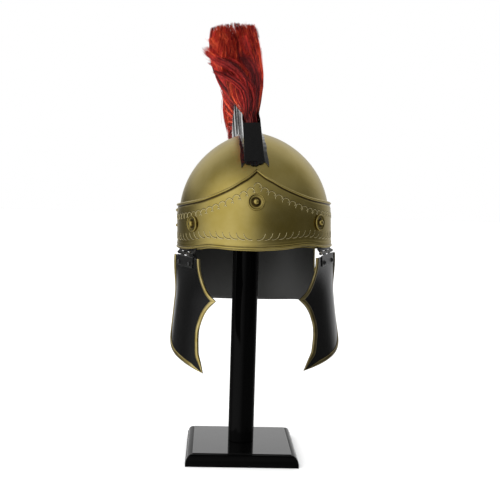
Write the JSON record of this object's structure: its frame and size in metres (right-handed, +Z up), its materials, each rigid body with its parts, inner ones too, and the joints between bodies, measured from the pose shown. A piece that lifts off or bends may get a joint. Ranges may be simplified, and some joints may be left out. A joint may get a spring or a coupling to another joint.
{
  "type": "roman helmet on display stand",
  "caption": "Roman officer's helmet with a red crest, embossed brow band and hinged cheek guards, seated on a black display stand.",
  "frame": {"origin": "centre of the underside of the stand's base", "axes": "+Z up, -Y the way the helmet faces, +X to the wearer's left"},
  "size_m": [0.2281, 0.287, 0.588],
  "materials": {
    "lacquered_wood": "black lacquer, glossy",
    "antique_brass": "antiqued, rubbed bright on the high places",
    "trim_brass": "antiqued satin",
    "black_paint": "gloss black",
    "red_horsehair": "dyed hair",
    "dark_steel": "black, rubbed to metal on the knuckles"
  },
  "bodies": {
    "helmet": {"stand_base": "lacquered_wood", "stand_post": "lacquered_wood", "shell": "antique_brass", "brow_band": "antique_brass", "boss_front": "antique_brass", "boss_right": "antique_brass", "boss_left": "antique_brass", "stud_right_upper": "antique_brass", "stud_right_lower": "antique_brass", "stud_left_upper": "antique_brass", "stud_left_lower": "antique_brass", "crest_box": "black_paint", "plume": "red_horsehair", "hinge_upper_right": "dark_steel", "hinge_pin_right": "dark_steel", "hinge_upper_left": "dark_steel", "hinge_pin_left": "dark_steel"},
    "cheek_guard_right": {"hinge_lower_right": "dark_steel", "rivet_front_right": "dark_steel", "rivet_rear_right": "dark_steel", "cheek_guard_right": "black_paint", "trim_front_right": "trim_brass", "trim_mouth_right": "trim_brass", "trim_jaw_right": "trim_brass"},
    "cheek_guard_left": {"hinge_lower_left": "dark_steel", "rivet_front_left": "dark_steel", "rivet_rear_left": "dark_steel", "cheek_guard_left": "black_paint", "trim_front_left": "trim_brass", "trim_mouth_left": "trim_brass", "trim_jaw_left": "trim_brass"}
  },
  "joints": [
    {"name": "right_cheek_hinge", "type": "hinge", "parent": "helmet", "child": "cheek_guard_right", "pos_m": [-0.08044, -0.052, 0.27918], "axis": [-0.3581, 0.9336, -0.013], "range_deg": [-15, 110]},
    {"name": "left_cheek_hinge", "type": "hinge", "parent": "helmet", "child": "cheek_guard_left", "pos_m": [0.10364, -0.052, 0.28587], "axis": [-0.3581, -0.9336, -0.013], "range_deg": [-15, 110]}
  ]
}
